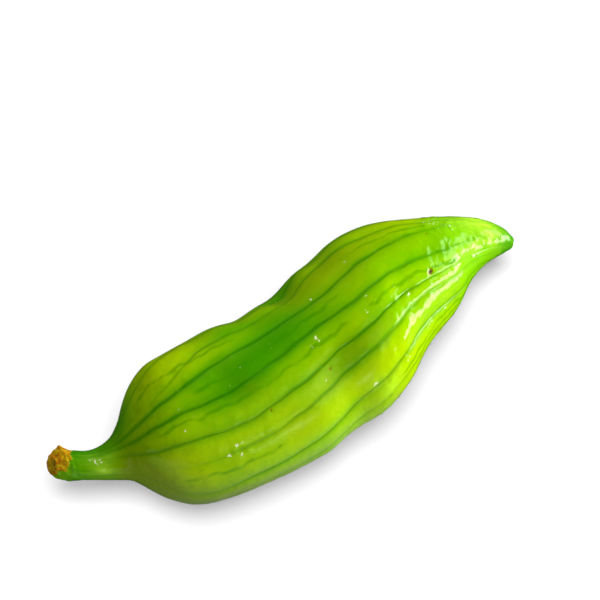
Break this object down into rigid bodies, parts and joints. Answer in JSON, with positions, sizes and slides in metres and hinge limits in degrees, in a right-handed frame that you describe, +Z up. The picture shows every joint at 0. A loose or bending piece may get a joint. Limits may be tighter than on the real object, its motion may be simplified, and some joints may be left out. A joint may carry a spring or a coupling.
{
  "type": "stuffing cucumber",
  "caption": "Whole ribbed green pod-like fruit with a short cut stalk and a curved pointed tip, hollow inside when ripe and cooked stuffed or sliced, lying on its side.",
  "frame": {"origin": "on the surface the fruit rests on, under the centre of its bounding box", "axes": "+Z up; the fruit lies along X, with its cut stalk toward -X and its pointed tip toward +X; +Y toward the side its tip leans to"},
  "size_m": [0.1614, 0.0596, 0.0418],
  "materials": {
    "skin": "glossy bright yellow-green plant skin with darker green grooves, and a tan corky end on the stalk"
  },
  "bodies": {
    "root": {"fruit": "skin"}
  },
  "joints": []
}
